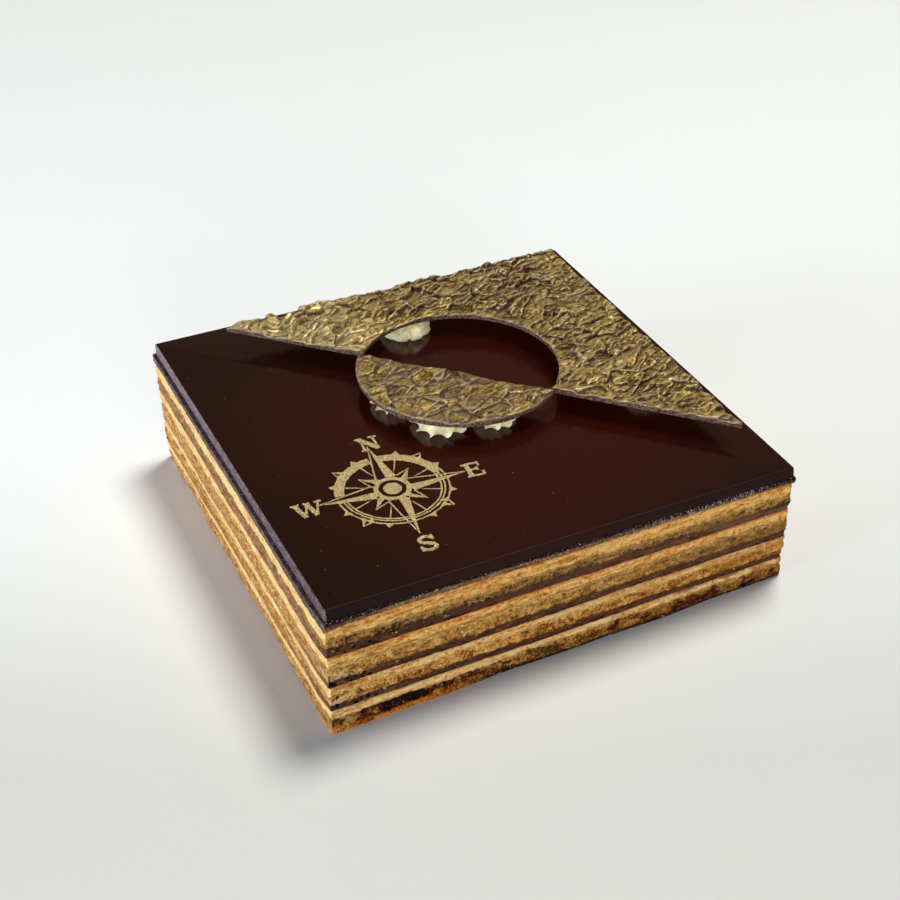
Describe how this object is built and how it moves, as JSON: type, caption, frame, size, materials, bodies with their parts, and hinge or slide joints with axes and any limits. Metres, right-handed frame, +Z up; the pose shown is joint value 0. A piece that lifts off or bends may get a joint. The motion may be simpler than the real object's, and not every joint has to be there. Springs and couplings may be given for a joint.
{
  "type": "opera cake",
  "caption": "Square layered opera cake with a dark mirror glaze and, over one back corner, a crumpled bronze chocolate plaque with a round bite, raised on cream rosettes.",
  "frame": {"origin": "middle of the flat underside, on the surface that the cake stands on", "axes": "+Z up; +X to the right and +Y to the back, along the two sides of the square, seen from the side opposite the plaque; the plaque's right-angled corner is towards +X +Y"},
  "size_m": [0.16, 0.16, 0.0559],
  "materials": {
    "glaze": "near-black red-brown chocolate mirror glaze, high gloss",
    "dark_chocolate": "dark chocolate plate, satin, with a broken edge",
    "buttercream": "tan coffee buttercream, smeared by the knife, satin",
    "sponge": "soaked almond sponge, crumbly and matt",
    "ganache": "dark purple-brown ganache, satin",
    "bronze_chocolate": "dark chocolate dusted with bronze-gold lustre, crumpled, satin metallic",
    "cream": "ivory whipped cream, satin"
  },
  "bodies": {
    "root": {"glaze": "glaze", "chocolate_plate": "dark_chocolate", "buttercream_1": "buttercream", "sponge_1": "sponge", "ganache_1": "ganache", "buttercream_2": "buttercream", "sponge_2": "sponge", "ganache_2": "ganache", "buttercream_3": "buttercream", "sponge_3": "sponge", "ganache_3": "ganache", "buttercream_4": "buttercream", "sponge_4": "sponge", "plaque": "bronze_chocolate", "plaque_segment": "bronze_chocolate", "rosette_1": "cream", "rosette_2": "cream", "rosette_3": "cream", "rosette_4": "cream", "rosette_5": "cream", "rosette_6": "cream"}
  },
  "joints": []
}
